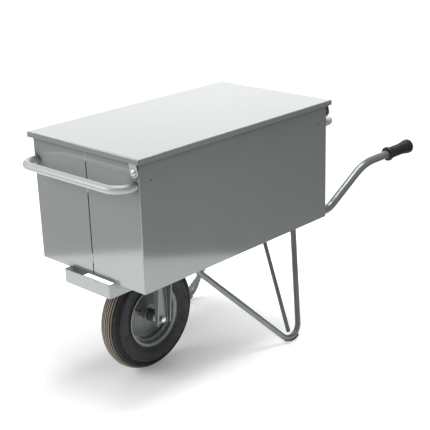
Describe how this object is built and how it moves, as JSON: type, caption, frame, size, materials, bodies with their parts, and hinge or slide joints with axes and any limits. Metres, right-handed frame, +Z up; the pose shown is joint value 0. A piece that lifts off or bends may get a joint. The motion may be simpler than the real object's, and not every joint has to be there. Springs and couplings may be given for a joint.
{
  "type": "chest wheelbarrow",
  "caption": "Lidded steel box on a tubular barrow frame, with a pneumatic wheel, a bumper strip, carrying loops and rubber grips.",
  "frame": {"origin": "on the ground, under the middle of the bounding box", "axes": "+X towards the wheel end, +Y towards the side that the lid is hinged on (the left side, seen from the grips), +Z up"},
  "size_m": [1.6083, 0.5768, 0.874],
  "materials": {
    "grey_paint": "satin, light grey with faint orange peel",
    "zinc_plate": "bright zinc plate",
    "black_rubber": "matt black moulding",
    "tyre_rubber": "matt, dusty on the tread",
    "bearing_steel": "ground steel"
  },
  "bodies": {
    "frame_and_box": {"axle": "zinc_plate", "box_floor": "grey_paint", "box_left_shell": "grey_paint", "box_right_shell": "grey_paint", "bumper_strip": "grey_paint", "front_carrying_loop": "grey_paint", "front_hinge_bolt": "zinc_plate", "front_hinge_nut": "zinc_plate", "front_hinge_spacer": "zinc_plate", "front_hinge_washer": "zinc_plate", "front_seam_weld_lower": "grey_paint", "front_seam_weld_middle": "grey_paint", "front_seam_weld_top": "grey_paint", "left_axle_nut": "zinc_plate", "left_axle_spacer": "zinc_plate", "left_brace": "grey_paint", "left_foot_shoe": "grey_paint", "left_fork_arm": "grey_paint", "left_frame_tube": "grey_paint", "left_grip": "black_rubber", "left_leg": "grey_paint", "mid_cross_tube": "grey_paint", "mid_left_box_bolt": "zinc_plate", "mid_left_box_nut": "zinc_plate", "mid_right_box_bolt": "zinc_plate", "mid_right_box_nut": "zinc_plate", "rear_carrying_loop": "grey_paint", "rear_cross_tube": "grey_paint", "rear_hinge_bolt": "zinc_plate", "rear_hinge_nut": "zinc_plate", "rear_hinge_spacer": "zinc_plate", "rear_hinge_washer": "zinc_plate", "rear_left_box_bolt": "zinc_plate", "rear_left_box_nut": "zinc_plate", "rear_right_box_bolt": "zinc_plate", "rear_right_box_nut": "zinc_plate", "rear_seam_weld_lower": "grey_paint", "rear_seam_weld_middle": "grey_paint", "rear_seam_weld_top": "grey_paint", "right_axle_nut": "zinc_plate", "right_axle_spacer": "zinc_plate", "right_brace": "grey_paint", "right_foot_shoe": "grey_paint", "right_fork_arm": "grey_paint", "right_frame_tube": "grey_paint", "right_grip": "black_rubber", "right_leg": "grey_paint"},
    "lid": {"lid_pan": "grey_paint", "front_hinge_lug": "grey_paint", "rear_hinge_lug": "grey_paint"},
    "wheel": {"tyre": "tyre_rubber", "inner_tube": "black_rubber", "wheel_rim": "grey_paint", "wheel_disc": "grey_paint", "wheel_hub": "grey_paint", "valve_stem": "black_rubber", "valve_cap": "black_rubber", "left_wheel_bearing": "bearing_steel", "right_wheel_bearing": "bearing_steel"}
  },
  "joints": [
    {"name": "lid_hinge", "type": "hinge", "parent": "frame_and_box", "child": "lid", "pos_m": [0.2522, 0.2465, 0.829], "axis": [-1, 0, 0], "range_deg": [0, 110]},
    {"name": "wheel_spin", "type": "hinge", "parent": "frame_and_box", "child": "wheel", "pos_m": [0.4842, 0, 0.2], "axis": [0, 1, 0], "continuous": true}
  ]
}
